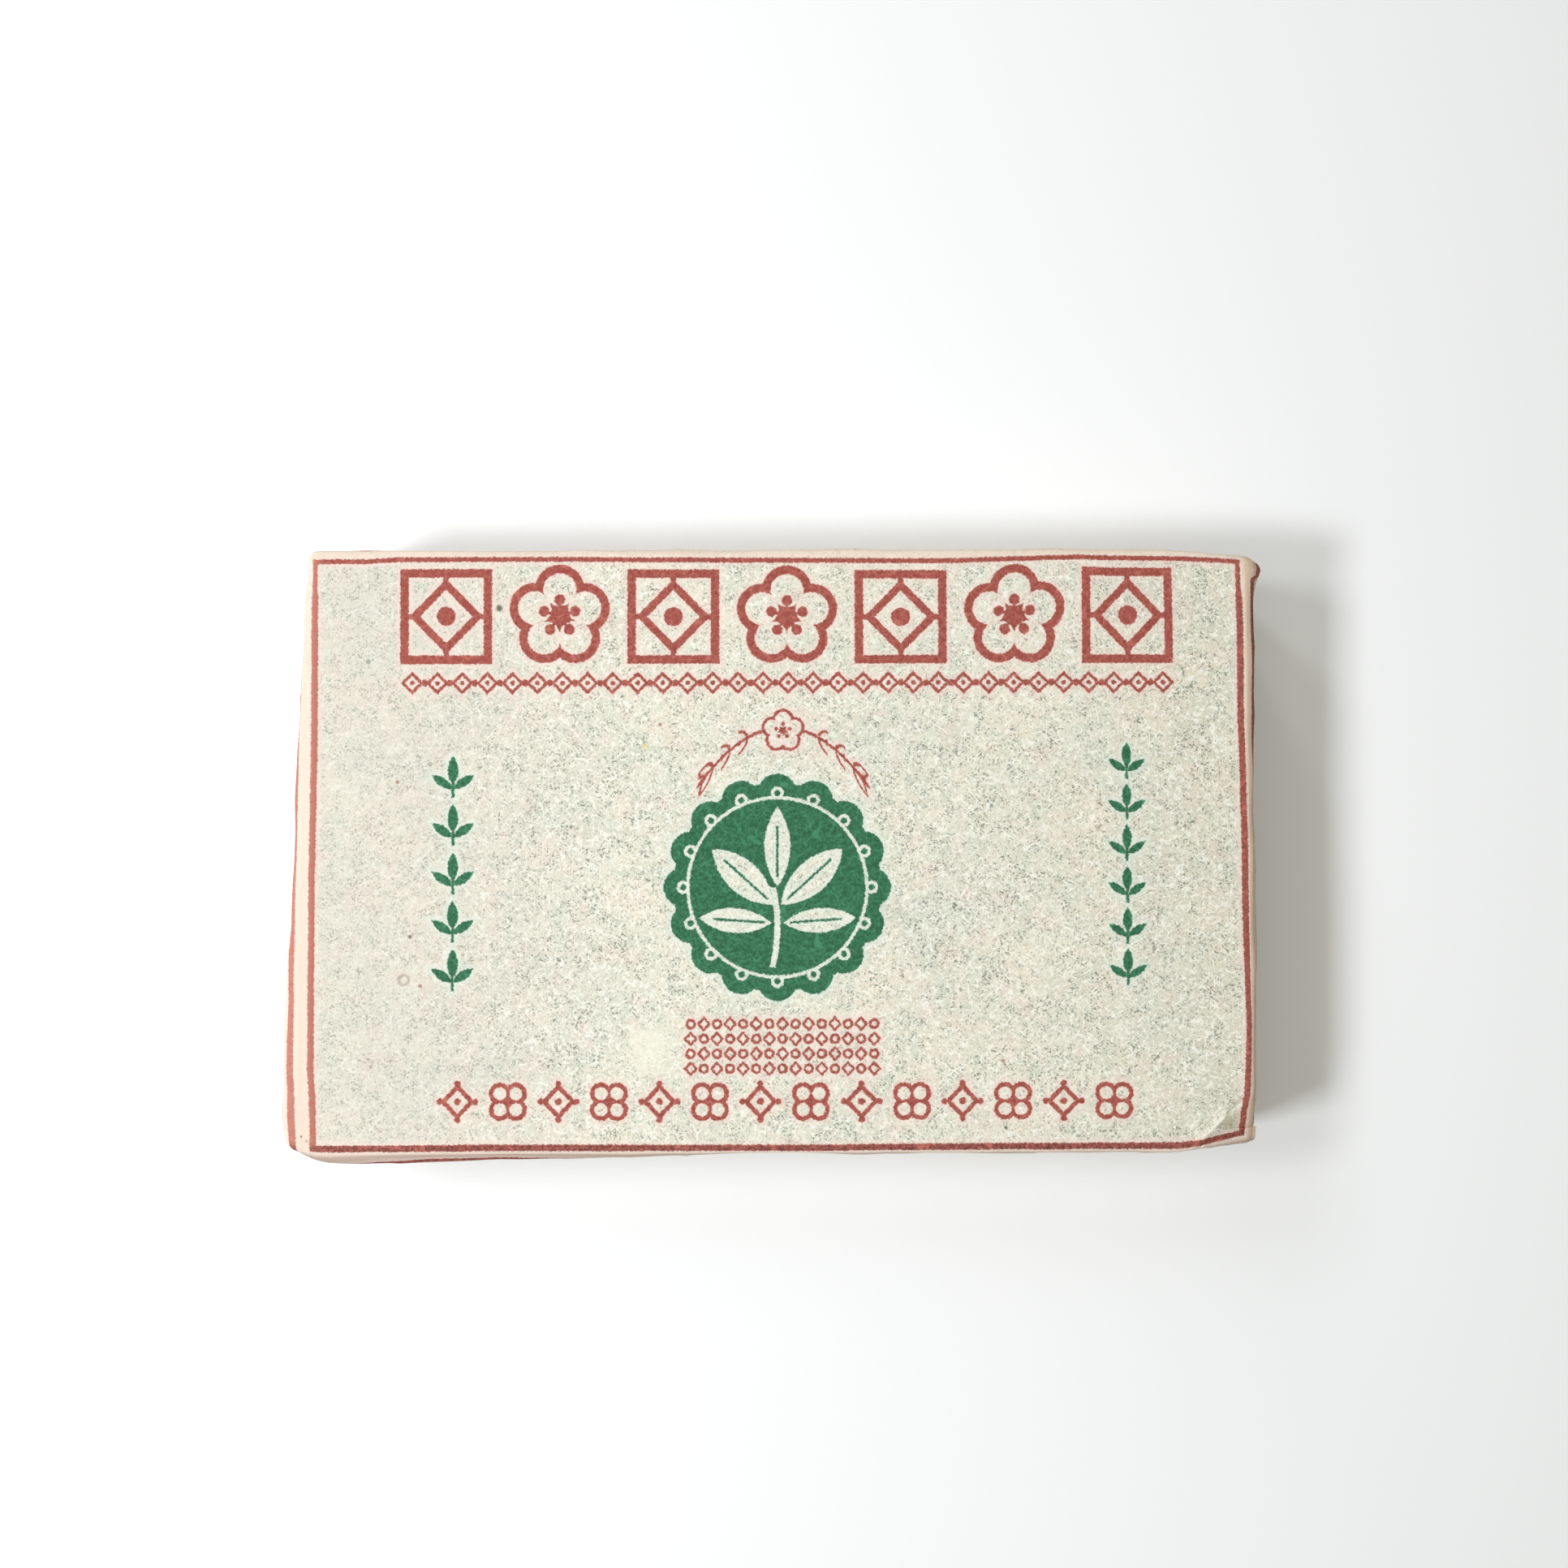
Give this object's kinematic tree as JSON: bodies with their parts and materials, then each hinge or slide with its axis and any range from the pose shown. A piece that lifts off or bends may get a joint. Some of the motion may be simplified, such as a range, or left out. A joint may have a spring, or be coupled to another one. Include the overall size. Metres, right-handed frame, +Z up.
{
  "type": "paper-wrapped pressed tea brick",
  "caption": "Flat rectangular brick of pressed dark tea, shut in a thin cotton-paper wrapper with a framed red and green print, lying on its folded back.",
  "frame": {"origin": "middle of the pack's plan box, on the surface that its folded back lies on", "axes": "+X along the long side, +Y towards the far long side, +Z up out of the printed front"},
  "size_m": [0.1538, 0.096, 0.025],
  "materials": {
    "printed_paper": "thin matt cotton paper, cream grey with long fibres, printed in red and green"
  },
  "bodies": {
    "root": {"wrapped_brick": "printed_paper"}
  },
  "joints": []
}
